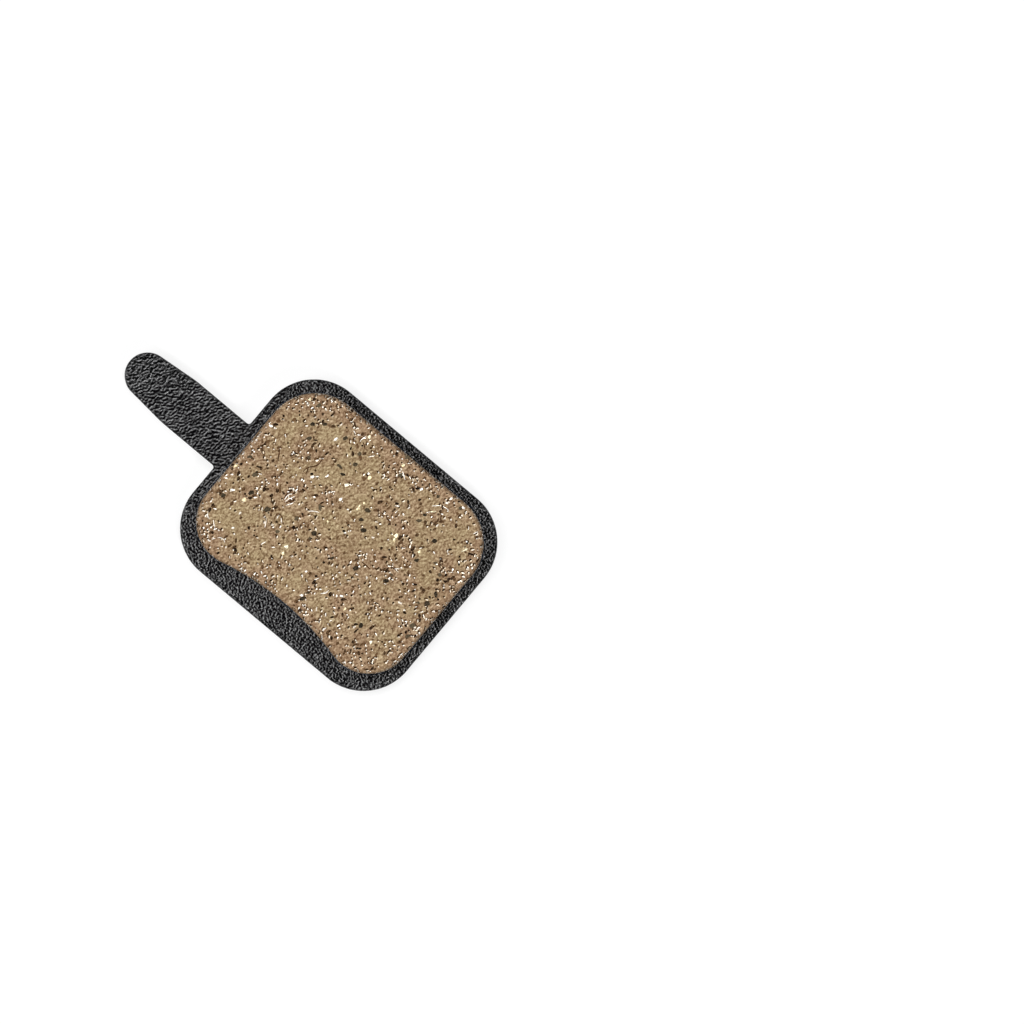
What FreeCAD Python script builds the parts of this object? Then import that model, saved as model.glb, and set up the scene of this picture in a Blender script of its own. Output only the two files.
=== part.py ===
import FreeCAD, Part
import math
import os

import Sketcher

# Disc brake pad for a bicycle caliper: a blanked steel backing plate with a pull tab, and a moulded
# semi-metallic friction lining that is keyed through two holes in the plate.
# Frame: the plate lies on its back at z = 0 with the centre of its body at the origin, the tab points
# along +Y, the lining faces +Z, and the hub of the wheel is on the -X side.

# Driving dimensions: alias, value and what it measures, in millimetres or degrees.
SIZES = [
    ("plate_width", 21.0, "plate body from its hub side to its rim side"),
    ("plate_length", 25.0, "plate body along the tab"),
    ("plate_thickness", 2.0, "steel with its coat"),
    ("plate_corner_radius", 5.1, "four corners of the plate body"),
    ("plate_front_edge_radius", 0.3, "rolled edge on the side where the punch came in"),
    ("plate_back_edge_radius", 0.15, "coat over the sheared edge at the back"),
    ("tab_width", 4.9, "pull tab at its root"),
    ("tab_length", 11.9, "pull tab from the plate body to its tip"),
    ("tab_straight", 5.7, "parallel part of the tab from the plate body on"),
    ("tab_flank_radius", 10.0, "bend from the parallel flank into the tapered one"),
    ("tab_tip_inset", 0.35, "how much narrower the round tip is on each side"),
    ("tab_root_radius", 0.25, "inside corners between tab and plate body"),
    ("lining_thickness", 2.0, "friction material above the plate"),
    ("lining_margin", 1.0, "bare plate around the lining on its three straight sides"),
    ("lining_hub_margin", 2.7, "bare plate at the middle of the hub side"),
    ("lining_hub_arc_radius", 26.7, "hollow arc of the hub side, round the inside of the rotor track"),
    ("lining_lobe_radius", 4.0, "two round lobes beside the hollow arc"),
    ("lining_corner_radius", 4.7, "two corners on the rim side"),
    ("lining_draft", 3.0, "slope of the moulded sides, in degrees"),
    ("lining_edge_break", 0.2, "bevel round the ground friction face"),
    ("key_hole_diameter", 4.0, "holes in the plate that the lining is moulded into"),
    ("key_hole_end_distance", 6.5, "key hole centres from the two ends of the plate body"),
    ("key_plug_recess", 0.2, "how far the lining's plugs stay behind the back face"),
]

# What a constraint can take hold of: a curve's points count up from 1, a sketch's axes count down from -1.
START, END, CENTRE = range(1, 4)
X_AXIS, Y_AXIS = range(-1, -3, -1)
ORIGIN = (X_AXIS, START)


def make_sheet(doc):
    sheet = doc.addObject("Spreadsheet::Sheet", "Sizes")
    for row, (alias, value, meaning) in enumerate(SIZES, start=1):
        sheet.set(f"A{row}", meaning)
        sheet.set(f"B{row}", str(value))
        sheet.setAlias(f"B{row}", alias)
    doc.recompute()
    return sheet


def make_body(doc, label):
    body = doc.addObject("PartDesign::Body", label)
    body.Label = label
    return body


def make_sketch(body, name, height="0"):
    sketch = body.newObject("Sketcher::SketchObject", name)
    ground = [f for f in body.Origin.OriginFeatures if f.Role == "XY_Plane"][0]
    sketch.AttachmentSupport = [(ground, "")]
    sketch.MapMode = "FlatFace"
    sketch.setExpression("AttachmentOffset.Base.z", height)
    return sketch


# An outline is a list of pieces, anticlockwise: geometry index, point where it starts, point where it ends.


def add_line(sketch, start, end):
    segment = Part.LineSegment(FreeCAD.Vector(*start, 0), FreeCAD.Vector(*end, 0))
    return sketch.addGeometry(segment), START, END


def add_arc(sketch, centre, radius, first_angle, last_angle, hollow=False):
    circle = Part.Circle(FreeCAD.Vector(*centre, 0), FreeCAD.Vector(0, 0, 1), radius)
    index = sketch.addGeometry(Part.ArcOfCircle(circle, first_angle, last_angle))
    return (index, END, START) if hollow else (index, START, END)


def join_smoothly(sketch, outline):
    for (one, _, leaves), (other, enters, _) in zip(outline, outline[1:] + outline[:1]):
        sketch.addConstraint(Sketcher.Constraint("Tangent", one, leaves, other, enters))


def set_level(sketch, direction, *pieces):
    for index, _, _ in pieces:
        sketch.addConstraint(Sketcher.Constraint(direction, index))


def set_equal(sketch, first, *others):
    for other in others:
        sketch.addConstraint(Sketcher.Constraint("Equal", first[0], other[0]))


def set_size(sketch, name, expression, kind, *places):
    value = float(sketch.evalExpression(expression))
    index = sketch.addConstraint(Sketcher.Constraint(kind, *places, value))
    sketch.renameConstraint(index, name)
    sketch.setExpression("Constraints." + name, expression)


def pad(body, name, sketch, length):
    feature = body.newObject("PartDesign::Pad", name)
    feature.Profile = sketch
    feature.setExpression("Length", length)
    body.Document.recompute()
    return feature


def flat_face(feature, height):
    boxes = [face.BoundBox for face in feature.Shape.Faces]
    off_height = [abs(box.ZMin - height) + abs(box.ZMax - height) for box in boxes]
    number = off_height.index(min(off_height)) + 1
    return f"Face{number}"


def treat_edges(body, kind, name, base, height, size_property, size):
    feature = body.newObject("PartDesign::" + kind, name)
    feature.Base = (base, [flat_face(base, height)])
    feature.setExpression(size_property, size)
    body.Document.recompute()
    return feature


def plate_outline(body, sizes):
    sketch = make_sketch(body, "plate_outline")
    half_width = sizes.plate_width / 2
    half_length = sizes.plate_length / 2
    corner = sizes.plate_corner_radius
    half_tab = sizes.tab_width / 2
    root = sizes.tab_root_radius
    flank = sizes.tab_flank_radius
    tip = half_tab - sizes.tab_tip_inset
    flank_end = half_length + sizes.tab_straight
    tip_height = half_length + sizes.tab_length - tip

    # The tapered flank is the common tangent of the flank's bend and the tip: lean is its angle from +Y.
    across = flank - half_tab
    along = tip_height - flank_end
    lean = math.atan2(along, across) - math.acos((flank - tip) / math.hypot(across, along))

    def on_bend(side):
        return (side * (half_tab - flank + flank * math.cos(lean)), flank_end + flank * math.sin(lean))

    def on_tip(side):
        return (side * tip * math.cos(lean), tip_height + tip * math.sin(lean))

    quarter, half, full = math.pi / 2, math.pi, 2 * math.pi
    inner_x, inner_y = half_width - corner, half_length - corner
    bottom = add_line(sketch, (-inner_x, -half_length), (inner_x, -half_length))
    corner_1 = add_arc(sketch, (inner_x, -inner_y), corner, -quarter, 0)
    rim_side = add_line(sketch, (half_width, -inner_y), (half_width, inner_y))
    corner_2 = add_arc(sketch, (inner_x, inner_y), corner, 0, quarter)
    shoulder_1 = add_line(sketch, (inner_x, half_length), (half_tab + root, half_length))
    root_1 = add_arc(sketch, (half_tab + root, half_length + root), root, half, half + quarter, hollow=True)
    flank_1 = add_line(sketch, (half_tab, half_length + root), (half_tab, flank_end))
    bend_1 = add_arc(sketch, (half_tab - flank, flank_end), flank, 0, lean)
    taper_1 = add_line(sketch, on_bend(1), on_tip(1))
    round_tip = add_arc(sketch, (0, tip_height), tip, lean, half - lean)
    taper_2 = add_line(sketch, on_tip(-1), on_bend(-1))
    bend_2 = add_arc(sketch, (flank - half_tab, flank_end), flank, half - lean, half)
    flank_2 = add_line(sketch, (-half_tab, flank_end), (-half_tab, half_length + root))
    root_2 = add_arc(sketch, (-half_tab - root, half_length + root), root, half + quarter, full, hollow=True)
    shoulder_2 = add_line(sketch, (-half_tab - root, half_length), (-inner_x, half_length))
    corner_3 = add_arc(sketch, (-inner_x, inner_y), corner, quarter, half)
    hub_side = add_line(sketch, (-half_width, inner_y), (-half_width, -inner_y))
    corner_4 = add_arc(sketch, (-inner_x, -inner_y), corner, half, half + quarter)

    join_smoothly(sketch, [
        bottom, corner_1, rim_side, corner_2, shoulder_1, root_1, flank_1, bend_1, taper_1, round_tip,
        taper_2, bend_2, flank_2, root_2, shoulder_2, corner_3, hub_side, corner_4,
    ])
    set_level(sketch, "Horizontal", bottom, shoulder_1, shoulder_2)
    set_level(sketch, "Vertical", rim_side, flank_1, flank_2, hub_side)
    set_equal(sketch, corner_1, corner_2, corner_3, corner_4)
    set_equal(sketch, root_1, root_2)
    set_equal(sketch, bend_1, bend_2)
    sketch.addConstraint(Sketcher.Constraint("PointOnObject", round_tip[0], CENTRE, Y_AXIS))

    set_size(sketch, "corner_radius", "Sizes.plate_corner_radius", "Radius", corner_1[0])
    set_size(sketch, "root_radius", "Sizes.tab_root_radius", "Radius", root_1[0])
    set_size(sketch, "flank_radius", "Sizes.tab_flank_radius", "Radius", bend_1[0])
    set_size(sketch, "tip_radius", "Sizes.tab_width / 2 - Sizes.tab_tip_inset", "Radius", round_tip[0])
    set_size(sketch, "rim_half", "Sizes.plate_width / 2", "DistanceX", *ORIGIN, rim_side[0], START)
    set_size(sketch, "hub_half", "Sizes.plate_width / 2", "DistanceX", hub_side[0], START, *ORIGIN)
    set_size(sketch, "bottom_half", "Sizes.plate_length / 2", "DistanceY", bottom[0], START, *ORIGIN)
    set_size(sketch, "shoulder_1_half", "Sizes.plate_length / 2", "DistanceY", *ORIGIN, shoulder_1[0], START)
    set_size(sketch, "shoulder_2_half", "Sizes.plate_length / 2", "DistanceY", *ORIGIN, shoulder_2[0], START)
    set_size(sketch, "flank_1_half", "Sizes.tab_width / 2", "DistanceX", *ORIGIN, flank_1[0], START)
    set_size(sketch, "flank_2_half", "Sizes.tab_width / 2", "DistanceX", flank_2[0], START, *ORIGIN)
    straight_end = "Sizes.plate_length / 2 + Sizes.tab_straight"
    set_size(sketch, "flank_1_end", straight_end, "DistanceY", *ORIGIN, flank_1[0], END)
    set_size(sketch, "flank_2_end", straight_end, "DistanceY", *ORIGIN, flank_2[0], START)
    tip_centre = "Sizes.plate_length / 2 + Sizes.tab_length - (Sizes.tab_width / 2 - Sizes.tab_tip_inset)"
    set_size(sketch, "tip_centre", tip_centre, "DistanceY", *ORIGIN, round_tip[0], CENTRE)
    return sketch


def lining_outline(body, sizes):
    sketch = make_sketch(body, "lining_outline", "Sizes.plate_thickness")
    rim = sizes.plate_width / 2 - sizes.lining_margin
    end = sizes.plate_length / 2 - sizes.lining_margin
    corner = sizes.lining_corner_radius
    lobe = sizes.lining_lobe_radius
    hollow = sizes.lining_hub_arc_radius
    hollow_x = sizes.lining_hub_margin - sizes.plate_width / 2 - hollow

    # A lobe's centre lies where its circle touches both the end of the lining and the hollow arc.
    lobe_y = end - lobe
    lobe_x = hollow_x + math.sqrt((hollow + lobe) ** 2 - lobe_y**2)
    turn = math.atan2(lobe_y, lobe_x - hollow_x)

    quarter, half = math.pi / 2, math.pi
    bottom = add_line(sketch, (lobe_x, -end), (rim - corner, -end))
    corner_1 = add_arc(sketch, (rim - corner, corner - end), corner, -quarter, 0)
    rim_side = add_line(sketch, (rim, corner - end), (rim, end - corner))
    corner_2 = add_arc(sketch, (rim - corner, end - corner), corner, 0, quarter)
    top = add_line(sketch, (rim - corner, end), (lobe_x, end))
    lobe_1 = add_arc(sketch, (lobe_x, lobe_y), lobe, quarter, half + turn)
    hub_arc = add_arc(sketch, (hollow_x, 0), hollow, -turn, turn, hollow=True)
    lobe_2 = add_arc(sketch, (lobe_x, -lobe_y), lobe, half - turn, half + quarter)

    join_smoothly(sketch, [bottom, corner_1, rim_side, corner_2, top, lobe_1, hub_arc, lobe_2])
    set_level(sketch, "Horizontal", bottom, top)
    set_level(sketch, "Vertical", rim_side)
    set_equal(sketch, corner_1, corner_2)
    set_equal(sketch, lobe_1, lobe_2)
    sketch.addConstraint(Sketcher.Constraint("PointOnObject", hub_arc[0], CENTRE, X_AXIS))

    set_size(sketch, "corner_radius", "Sizes.lining_corner_radius", "Radius", corner_1[0])
    set_size(sketch, "lobe_radius", "Sizes.lining_lobe_radius", "Radius", lobe_1[0])
    set_size(sketch, "hub_arc_radius", "Sizes.lining_hub_arc_radius", "Radius", hub_arc[0])
    rim_place = "Sizes.plate_width / 2 - Sizes.lining_margin"
    set_size(sketch, "rim_place", rim_place, "DistanceX", *ORIGIN, rim_side[0], START)
    end_place = "Sizes.plate_length / 2 - Sizes.lining_margin"
    set_size(sketch, "bottom_place", end_place, "DistanceY", bottom[0], START, *ORIGIN)
    set_size(sketch, "top_place", end_place, "DistanceY", *ORIGIN, top[0], START)
    hub_centre = "Sizes.plate_width / 2 - Sizes.lining_hub_margin + Sizes.lining_hub_arc_radius"
    set_size(sketch, "hub_arc_centre", hub_centre, "DistanceX", hub_arc[0], CENTRE, *ORIGIN)
    return sketch


def key_circles(body, sizes, name, height):
    sketch = make_sketch(body, name, height)
    radius = sizes.key_hole_diameter / 2
    place = sizes.plate_length / 2 - sizes.key_hole_end_distance
    place_expression = "Sizes.plate_length / 2 - Sizes.key_hole_end_distance"
    up = FreeCAD.Vector(0, 0, 1)
    upper = sketch.addGeometry(Part.Circle(FreeCAD.Vector(0, place, 0), up, radius))
    lower = sketch.addGeometry(Part.Circle(FreeCAD.Vector(0, -place, 0), up, radius))
    for circle in (upper, lower):
        sketch.addConstraint(Sketcher.Constraint("PointOnObject", circle, CENTRE, Y_AXIS))
    sketch.addConstraint(Sketcher.Constraint("Equal", upper, lower))
    set_size(sketch, "key_diameter", "Sizes.key_hole_diameter", "Diameter", upper)
    set_size(sketch, "upper_place", place_expression, "DistanceY", *ORIGIN, upper, CENTRE)
    set_size(sketch, "lower_place", place_expression, "DistanceY", lower, CENTRE, *ORIGIN)
    return sketch


def make_backing_plate(doc, sizes):
    body = make_body(doc, "backing_plate")
    blank = pad(body, "plate_blank", plate_outline(body, sizes), "Sizes.plate_thickness")
    front = treat_edges(body, "Fillet", "front_edge", blank, sizes.plate_thickness,
                        "Radius", "Sizes.plate_front_edge_radius")
    back = treat_edges(body, "Fillet", "back_edge", front, 0, "Radius", "Sizes.plate_back_edge_radius")

    holes = body.newObject("PartDesign::Pocket", "key_holes")
    holes.Profile = key_circles(body, sizes, "key_hole_circles", "0")
    holes.Type = "ThroughAll"
    holes.Reversed = True
    doc.recompute()
    removed = back.Shape.Volume - holes.Shape.Volume
    expected = 2 * math.pi / 4 * sizes.key_hole_diameter**2 * sizes.plate_thickness
    if not math.isclose(removed, expected, rel_tol=0.01):
        raise RuntimeError(f"the key holes removed {removed:.2f} mm3, not {expected:.2f}")
    return body


def make_friction_lining(doc, sizes):
    body = make_body(doc, "friction_lining")
    block = pad(body, "lining_block", lining_outline(body, sizes), "Sizes.lining_thickness")
    block.setExpression("TaperAngle", "-Sizes.lining_draft")
    doc.recompute()
    face_height = sizes.plate_thickness + sizes.lining_thickness
    treat_edges(body, "Chamfer", "face_bevel", block, face_height, "Size", "Sizes.lining_edge_break")

    circles = key_circles(body, sizes, "key_plug_circles", "Sizes.key_plug_recess")
    pad(body, "key_plugs", circles, "Sizes.plate_thickness - Sizes.key_plug_recess")
    return body


def check_document(doc, bodies):
    for thing in doc.Objects:
        if "Invalid" in thing.State or "Error" in thing.State:
            raise RuntimeError(f"{thing.Name} failed: {thing.State}")
        if thing.TypeId == "Sketcher::SketchObject" and not thing.FullyConstrained:
            raise RuntimeError(f"{thing.Name} isn't fully constrained")
    for body in bodies:
        if body.Shape.isNull() or not body.Shape.isValid() or len(body.Shape.Solids) != 1:
            raise RuntimeError(f"{body.Label} is not one valid solid")


def main():
    doc = FreeCAD.newDocument("brake_pad")
    sizes = make_sheet(doc)
    bodies = [make_backing_plate(doc, sizes), make_friction_lining(doc, sizes)]
    doc.recompute()
    check_document(doc, bodies)
    os.makedirs("parts", exist_ok=True)
    for body in bodies:
        body.Shape.exportStep(f"parts/{body.Label}.step")
        box = body.Shape.optimalBoundingBox()
        lengths = f"{box.XLength:.2f} x {box.YLength:.2f} x {box.ZLength:.2f} mm"
        print(f"{body.Label}: {body.Shape.Volume:.1f} mm3, {lengths}")


main()
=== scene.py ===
from math import ceil, cos, radians, sin, sqrt

import bmesh
import bpy
import numpy as np
from mathutils.geometry import delaunay_2d_cdt
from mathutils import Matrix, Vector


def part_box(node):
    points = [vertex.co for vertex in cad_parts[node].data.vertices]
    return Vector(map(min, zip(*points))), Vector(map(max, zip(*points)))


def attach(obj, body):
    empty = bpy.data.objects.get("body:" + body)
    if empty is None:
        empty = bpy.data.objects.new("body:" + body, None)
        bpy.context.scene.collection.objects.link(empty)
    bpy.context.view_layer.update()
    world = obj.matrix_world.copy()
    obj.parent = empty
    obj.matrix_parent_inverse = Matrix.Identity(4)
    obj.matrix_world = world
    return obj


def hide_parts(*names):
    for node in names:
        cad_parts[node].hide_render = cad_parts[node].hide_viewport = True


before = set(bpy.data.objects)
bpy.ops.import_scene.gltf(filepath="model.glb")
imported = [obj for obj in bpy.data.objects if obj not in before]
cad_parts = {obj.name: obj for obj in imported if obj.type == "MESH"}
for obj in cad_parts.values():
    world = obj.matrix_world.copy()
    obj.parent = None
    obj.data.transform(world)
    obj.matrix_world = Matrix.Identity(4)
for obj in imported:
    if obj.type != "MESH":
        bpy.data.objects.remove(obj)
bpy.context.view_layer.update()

mm = 0.001
scene = bpy.context.scene
scene.view_settings.view_transform = "Standard"


# the picture, and where the pad lies in it

photo = {"imageSize": 1024, "padCentre": (338.7, 535.2), "tabAngle": 140.12, "pixelsPerMm": 11.167}


def imageTurn():  # angle of the picture's right-hand direction in the part's frame
    return radians(90.0 - photo["tabAngle"])


def fromPicture(x, y):  # the point of the pad that a pixel shows
    right = (x - photo["padCentre"][0]) / photo["pixelsPerMm"] * mm
    up = (photo["padCentre"][1] - y) / photo["pixelsPerMm"] * mm
    turn = imageTurn()
    return right * cos(turn) - up * sin(turn), right * sin(turn) + up * cos(turn)


# reading the CAD frame

weldGap, levelGap = 1e-7, 1e-6  # metres
reachGap, heightGap = 1e-4, 1e-3  # millimetres
flatNormal = 0.999  # a face with a more upright normal lies level


def rimLoops(nodeName, height):  # closed edges of a CAD node at one height, largest first, anticlockwise
    bm = bmesh.new()
    bm.from_mesh(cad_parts[nodeName].data)
    bmesh.ops.remove_doubles(bm, verts=bm.verts, dist=weldGap)
    bm.normal_update()
    bm.verts.ensure_lookup_table()
    level = {v.index for v in bm.verts if abs(v.co.z - height) < levelGap}
    follow = {}
    for edge in bm.edges:
        if {v.index for v in edge.verts} <= level:
            if not all(abs(f.normal.z) > flatNormal for f in edge.link_faces):
                one, other = (v.index for v in edge.verts)
                follow.setdefault(one, []).append(other)
                follow.setdefault(other, []).append(one)
    loops = []
    left = sorted(follow)
    while left:
        chain = [left[0]]
        while True:
            onward = [n for n in follow[chain[-1]] if n in left and n not in chain]
            if not onward:
                break
            chain.append(onward[0])
        left = [n for n in left if n not in chain]
        loops.append(np.array([bm.verts[n].co.xy[:] for n in chain]) / mm)
    bm.free()
    loops = [loop if turning(loop) > 0 else loop[::-1] for loop in loops]
    return sorted(loops, key=lambda loop: -abs(turning(loop)))


def turning(loop):  # signed area, positive anticlockwise
    x, y = loop.T
    return 0.5 * float(np.sum(x * np.roll(y, -1) - np.roll(x, -1) * y))


def nodePoints(nodeName):  # x and height of each point of a CAD node, in millimetres
    return [(v.co.x / mm, v.co.z / mm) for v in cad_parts[nodeName].data.vertices]


def reachAt(nodeName, height):  # furthest +X of a node's points at one height
    return max(x for x, z in nodePoints(nodeName) if abs(z - height) < heightGap)


def evenOutline(loop, step):  # smooth, evenly spaced points on an outline, with its outward normals
    straightRatio = 2.5  # an edge this much longer than the next one is a straight side
    pointsPerEdge = 16
    arrive = loop - np.roll(loop, 1, 0)
    leave = np.roll(arrive, -1, 0)
    arriveLength = np.linalg.norm(arrive, axis=1)[:, None]
    leaveLength = np.linalg.norm(leave, axis=1)[:, None]
    arriveWay, leaveWay = arrive / arriveLength, leave / leaveLength
    way = arriveWay * leaveLength + leaveWay * arriveLength
    way = np.where(arriveLength > straightRatio * leaveLength, arriveWay, way)  # it keeps its direction
    way = np.where(leaveLength > straightRatio * arriveLength, leaveWay, way)
    way /= np.linalg.norm(way, axis=1)[:, None]
    dense = []
    for t in np.linspace(0, 1, pointsPerEdge, endpoint=False):
        a, b = 2 * t**3 - 3 * t**2 + 1, t**3 - 2 * t**2 + t
        c, d = 3 * t**2 - 2 * t**3, t**3 - t**2
        nextPoint, nextWay = np.roll(loop, -1, 0), np.roll(way, -1, 0)
        dense.append(a * loop + b * way * leaveLength + c * nextPoint + d * nextWay * leaveLength)
    dense = np.stack(dense, 1).reshape(-1, 2)
    dense = np.vstack([dense, dense[:1]])
    along = np.concatenate([[0], np.cumsum(np.linalg.norm(np.diff(dense, axis=0), axis=1))])
    count = int(round(along[-1] / step))
    at = np.linspace(0, along[-1], count, endpoint=False)
    points = np.stack([np.interp(at, along, dense[:, k]) for k in (0, 1)], 1)
    tangent = np.roll(points, -1, 0) - np.roll(points, 1, 0)
    tangent /= np.linalg.norm(tangent, axis=1)[:, None]
    return points, np.stack([tangent[:, 1], -tangent[:, 0]], 1)


def gridInside(loops, step):  # even triangular grid of points inside the first loop and outside the others
    rowStep = step * sqrt(0.75)
    nudge = 1e-5  # keeps the rows off the loops' own points
    low, high = loops[0].min(0), loops[0].max(0)
    found = []
    for row in range(int(np.floor(low[1] / rowStep)), int(ceil(high[1] / rowStep)) + 1):
        y = row * rowStep + nudge
        crossings = []
        for loop in loops:
            ends = np.roll(loop, -1, 0)
            hit = (loop[:, 1] > y) != (ends[:, 1] > y)
            a, b = loop[hit], ends[hit]
            crossings.extend(a[:, 0] + (y - a[:, 1]) / (b[:, 1] - a[:, 1]) * (b[:, 0] - a[:, 0]))
        crossings.sort()
        shift = 0.5 * (row % 2)
        for left, right in zip(crossings[::2], crossings[1::2]):
            columns = np.arange(ceil(left / step - shift), np.floor(right / step - shift) + 1)
            found.append(np.stack([(columns + shift) * step, np.full(len(columns), y)], 1))
    return np.vstack(found)


def distanceTo(points, outline):  # from each point to an outline, in plan
    near = []
    for chunk in np.array_split(np.array(points)[:, :2], 200):  # a few points at a time, to save memory
        near.append(np.sqrt(((chunk[:, None] - outline[None]) ** 2).sum(2)).min(1))
    return np.concatenate(near)


# meshes

gridGap = 0.6  # from an outline to the grid inside it, in grid steps


def addObject(name, data):
    made = bpy.data.objects.new(name, data)
    scene.collection.objects.link(made)
    return made


def addMesh(name, points, edges=(), faces=()):
    mesh = bpy.data.meshes.new(name)
    mesh.from_pydata(points, edges, faces)
    return addObject(name, mesh)


def markMesh(mesh, name, values):  # keeps a number on each point
    mesh.attributes.new(name, "FLOAT", "POINT").data.foreach_set("value", values)


class Shell:  # gathers the points and faces of one closed piece, in millimetres

    def __init__(self):
        self.points = []
        self.marks = []
        self.faces = []

    def add(self, flat, height, mark=1.0):
        first = len(self.points)
        self.points.extend((x, y, height) for x, y in flat)
        self.marks.extend([mark] * len(flat))
        return list(range(first, len(self.points)))

    def wall(self, lower, upper):  # quads between two rings of an anticlockwise outline
        for i in range(len(lower)):
            j = (i + 1) % len(lower)
            self.faces.append((lower[i], lower[j], upper[j], upper[i]))

    def cap(self, rings, inner, height, up, mark=1.0, holes=()):  # fills in between rings
        indices = [n for ring in rings for n in ring]
        edges, start = [], 0
        for ring in rings:
            edges += [(start + i, start + (i + 1) % len(ring)) for i in range(len(ring))]
            start += len(ring)
        flat = [self.points[n][:2] for n in indices] + [tuple(p) for p in inner]
        indices += self.add(inner, height, mark)
        insideRings, samePoint = 1, 1e-7
        made = delaunay_2d_cdt(flat, edges, [], insideRings, samePoint)
        triangles, origins = made[2], made[3]
        for triangle in triangles:
            corners = [indices[origins[k][0]] for k in triangle]
            if any(set(corners) <= set(hole) for hole in holes):  # spans a hole from rim to rim
                continue
            self.faces.append(tuple(corners if up else corners[::-1]))

    def build(self, name):
        piece = addMesh(name, [(x * mm, y * mm, z * mm) for x, y, z in self.points], faces=self.faces)
        markMesh(piece.data, "relief", self.marks)
        piece.data.polygons.foreach_set("use_smooth", [True] * len(self.faces))
        return piece


# node helpers

def addNode(tree, kind, inputs=None, output=0, **settings):  # a socket among the inputs is linked
    made = tree.nodes.new(kind)
    for key, value in settings.items():
        setattr(made, key, value)
    for key, value in (inputs or {}).items():
        if isinstance(value, bpy.types.NodeSocket):
            tree.links.new(value, made.inputs[key])
        else:
            made.inputs[key].default_value = value
    return made.outputs if output is None else made.outputs[output]


def treeOf(*values):  # the tree that a socket among them is in
    return next(value.id_data for value in values if isinstance(value, bpy.types.NodeSocket))


def maths(operation, first, second=0.0, clamp=False):
    return addNode(treeOf(first, second), "ShaderNodeMath", {0: first, 1: second},
                   operation=operation, use_clamp=clamp)


def plus(first, second, clamp=False):
    return maths("ADD", first, second, clamp)


def minus(first, second):
    return maths("SUBTRACT", first, second)


def times(first, second):
    return maths("MULTIPLY", first, second)


def over(first, second):
    return maths("DIVIDE", first, second)


def vectorMaths(operation, first, second=(0.0, 0.0, 0.0), scale=1.0):
    output = "Value" if operation == "DOT_PRODUCT" else "Vector"
    return addNode(treeOf(first), "ShaderNodeVectorMath", {0: first, 1: second, 3: scale}, output,
                   operation=operation)


def noise(place, scale, detail=0.0, roughness=0.5, output=0, **more):
    inputs = {"Vector": place, "Scale": scale, "Detail": detail, "Roughness": roughness}
    return addNode(treeOf(place), "ShaderNodeTexNoise", {**inputs, **more}, output)


def remap(value, fromLow, fromHigh, toLow=0.0, toHigh=1.0, smooth=False):
    kind = "SMOOTHSTEP" if smooth else "LINEAR"
    inputs = {"Value": value, "From Min": fromLow, "From Max": fromHigh, "To Min": toLow, "To Max": toHigh}
    return addNode(treeOf(value), "ShaderNodeMapRange", inputs, interpolation_type=kind)


def spread(value, low, high, band=0.2):  # brings noise's usual band around 0.5 to low and high
    return remap(value, 0.5 - band, 0.5 + band, low, high)


def mixColor(share, first, second, blend="MIX"):
    return addNode(treeOf(share, first), "ShaderNodeMix", {0: share, 6: first, 7: second}, 2,
                   data_type="RGBA", blend_type=blend)


def ridges(place, perMetre, run, order, turn):  # waves side by side, a few in each patch, around 0.5
    return addNode(treeOf(place), "ShaderNodeTexGabor", {
        "Vector": place, "Scale": perMetre, "Frequency": run, "Anisotropy": order, 4: turn})


def splitVector(vector):
    return addNode(treeOf(vector), "ShaderNodeSeparateXYZ", {0: vector}, None)


def joinVector(x=0.0, y=0.0, z=0.0):
    return addNode(treeOf(x, y, z), "ShaderNodeCombineXYZ", {0: x, 1: y, 2: z})


def srgb(red, green, blue):  # display colour, 0 to 255, as a linear one
    linear = [c / 12.92 if c <= 0.04045 else ((c + 0.055) / 1.055) ** 2.4
              for c in (red / 255, green / 255, blue / 255)]
    return (*linear, 1.0)


def newMaterial(name, roughness):
    material = bpy.data.materials.new(name)
    material.use_nodes = True
    tree = material.node_tree
    shader = next(n for n in tree.nodes if n.type == "BSDF_PRINCIPLED")
    shader.inputs["Roughness"].default_value = roughness
    return material, tree, shader, addNode(tree, "ShaderNodeTexCoord", output="Object")


def shaderMark(tree, name):  # a number kept on the mesh, as a material reads it
    return addNode(tree, "ShaderNodeAttribute", output="Fac", attribute_name=name)


def feed(shader, name, socket):
    treeOf(socket).links.new(socket, shader.inputs[name])


def addBump(shader, height, strength, depth):
    feed(shader, "Normal", addNode(treeOf(height), "ShaderNodeBump", {
        "Strength": strength, "Distance": depth * mm, "Height": height}))


def newTree(name, numbers, **others):  # geometry tree with named inputs
    tree = bpy.data.node_groups.new(name, "GeometryNodeTree")
    tree.interface.new_socket("Geometry", in_out="INPUT", socket_type="NodeSocketGeometry")
    for label, kind in {**dict.fromkeys(numbers, "Float"), **others, "Material": "Material"}.items():
        tree.interface.new_socket(label, in_out="INPUT", socket_type="NodeSocket" + kind)
    tree.interface.new_socket("Geometry", in_out="OUTPUT", socket_type="NodeSocketGeometry")
    return tree, addNode(tree, "NodeGroupInput", output=None)


def readMark(tree, name, kind="FLOAT"):  # a number kept on the mesh, as a geometry tree reads it
    return addNode(tree, "GeometryNodeInputNamedAttribute", {"Name": name}, data_type=kind)


def keepMark(geometry, name, value, domain="POINT"):
    return addNode(treeOf(geometry), "GeometryNodeStoreNamedAttribute", {
        "Geometry": geometry, "Name": name, "Value": value}, data_type="FLOAT", domain=domain)


def position(tree):
    return addNode(tree, "GeometryNodeInputPosition")


def outwardWay(tree):
    return addNode(tree, "GeometryNodeInputNormal")


def facingUp(tree):  # 1 on a face that looks up, 0 on the sides and below
    steep, level = 0.4, 0.9
    return remap(splitVector(outwardWay(tree))[2], steep, level)


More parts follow.
